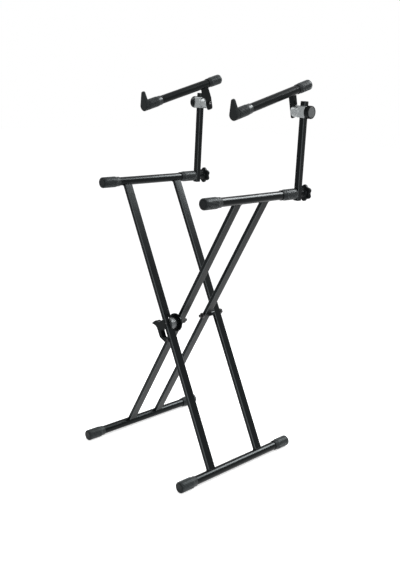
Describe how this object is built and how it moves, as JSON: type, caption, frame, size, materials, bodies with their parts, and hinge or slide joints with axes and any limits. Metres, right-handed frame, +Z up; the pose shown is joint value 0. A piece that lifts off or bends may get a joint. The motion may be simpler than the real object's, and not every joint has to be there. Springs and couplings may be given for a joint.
{
  "type": "two-tier x-style keyboard stand",
  "caption": "Folding x-style keyboard stand of black steel tube with a trigger lock, ribbed rubber caps and a clamped, tilting upper tier.",
  "frame": {"origin": "on the floor under the middle of the whole stand's box", "axes": "+Z up, +X from the left arm to the right arm, -Y towards the front, where the hooks are"},
  "size_m": [0.56, 0.5654, 1.3298],
  "materials": {
    "black_steel": "satin black powder coat",
    "rubber": "matte",
    "black_plastic": "matte",
    "silver_alloy": "satin, cast",
    "zinc_steel": "satin"
  },
  "bodies": {
    "outer_frame": {"left_arm_tube": "black_steel", "right_foot_tube": "black_steel", "front_outer_leg": "black_steel", "rear_outer_leg": "black_steel", "left_arm_front_cap": "rubber", "left_arm_rear_cap": "rubber", "left_arm_insert": "zinc_steel", "right_foot_front_cap": "rubber", "right_foot_rear_cap": "rubber", "front_pivot_bolt": "black_steel", "front_pivot_nut": "black_steel", "rear_pivot_bolt": "black_steel", "rear_pivot_nut": "black_steel", "rear_spacer": "black_steel", "pivot_hub": "zinc_steel", "trigger_pin": "black_steel"},
    "inner_frame": {"right_arm_tube": "black_steel", "left_foot_tube": "black_steel", "front_inner_leg": "black_steel", "rear_inner_leg": "black_steel", "right_arm_front_cap": "rubber", "right_arm_rear_cap": "rubber", "right_arm_insert": "zinc_steel", "left_foot_front_cap": "rubber", "left_foot_rear_cap": "rubber", "lock_disc": "black_steel", "lock_plate": "black_steel"},
    "trigger": {"trigger_lever": "black_plastic", "lock_pin": "black_steel", "trigger_spring": "zinc_steel"},
    "left_upright": {"left_upright_tube": "black_steel", "left_upright_top_plug": "black_plastic", "left_upright_base_plug": "black_plastic"},
    "left_star": {"left_star_knob": "black_plastic", "left_star_knob_screw": "zinc_steel"},
    "left_clamp": {"left_clamp_body": "silver_alloy"},
    "left_knob": {"left_clamp_knob": "black_plastic", "left_clamp_screw": "zinc_steel"},
    "left_upper_arm": {"left_tilt_disc": "silver_alloy", "left_tilt_bolt": "zinc_steel", "left_arm_bracket": "black_steel", "left_upper_arm_tube": "black_steel", "left_upper_hook_cap": "rubber", "left_upper_rear_cap": "rubber"},
    "right_upright": {"right_upright_tube": "black_steel", "right_upright_top_plug": "black_plastic", "right_upright_base_plug": "black_plastic"},
    "right_star": {"right_star_knob": "black_plastic", "right_star_knob_screw": "zinc_steel"},
    "right_clamp": {"right_clamp_body": "silver_alloy"},
    "right_knob": {"right_clamp_knob": "black_plastic", "right_clamp_screw": "zinc_steel"},
    "right_upper_arm": {"right_tilt_disc": "silver_alloy", "right_tilt_bolt": "zinc_steel", "right_arm_bracket": "black_steel", "right_upper_arm_tube": "black_steel", "right_upper_hook_cap": "rubber", "right_upper_rear_cap": "rubber"}
  },
  "joints": [
    {"name": "fold", "type": "hinge", "parent": "outer_frame", "child": "inner_frame", "pos_m": [0, -0.01117, 0.48233], "axis": [0, 1, 0], "range_deg": [-24, 40]},
    {"name": "trigger_pull", "type": "hinge", "parent": "outer_frame", "child": "trigger", "pos_m": [0.02477, -0.01117, 0.43548], "axis": [0, -1, 0], "range_deg": [0, 6], "stiffness_Nm_per_rad": 3, "springref_deg": -5.73},
    {"name": "left_upright_swing", "type": "hinge", "parent": "outer_frame", "child": "left_upright", "pos_m": [-0.2465, 0.21933, 0.9485], "axis": [0, 1, 0], "range_deg": [-45, 45]},
    {"name": "left_star_turn", "type": "hinge", "parent": "outer_frame", "child": "left_star", "pos_m": [-0.2465, 0.21933, 0.9485], "axis": [0, 1, 0], "continuous": true},
    {"name": "left_clamp_slide", "type": "slide", "parent": "left_upright", "child": "left_clamp", "axis": [0, 0, 1], "range_m": [-0.2, 0.012]},
    {"name": "left_knob_turn", "type": "hinge", "parent": "left_clamp", "child": "left_knob", "pos_m": [-0.2465, 0.21933, 1.2245], "axis": [1, 0, 0], "continuous": true},
    {"name": "left_arm_tilt", "type": "hinge", "parent": "left_clamp", "child": "left_upper_arm", "pos_m": [-0.2465, 0.21933, 1.2245], "axis": [1, 0, 0], "range_deg": [-45, 30]},
    {"name": "right_upright_swing", "type": "hinge", "parent": "inner_frame", "child": "right_upright", "pos_m": [0.2465, 0.21933, 0.9485], "axis": [0, 1, 0], "range_deg": [-45, 45]},
    {"name": "right_star_turn", "type": "hinge", "parent": "inner_frame", "child": "right_star", "pos_m": [0.2465, 0.21933, 0.9485], "axis": [0, 1, 0], "continuous": true},
    {"name": "right_clamp_slide", "type": "slide", "parent": "right_upright", "child": "right_clamp", "axis": [0, 0, 1], "range_m": [-0.2, 0.012]},
    {"name": "right_knob_turn", "type": "hinge", "parent": "right_clamp", "child": "right_knob", "pos_m": [0.2465, 0.21933, 1.2245], "axis": [1, 0, 0], "continuous": true},
    {"name": "right_arm_tilt", "type": "hinge", "parent": "right_clamp", "child": "right_upper_arm", "pos_m": [0.2465, 0.21933, 1.2245], "axis": [1, 0, 0], "range_deg": [-45, 30]}
  ]
}
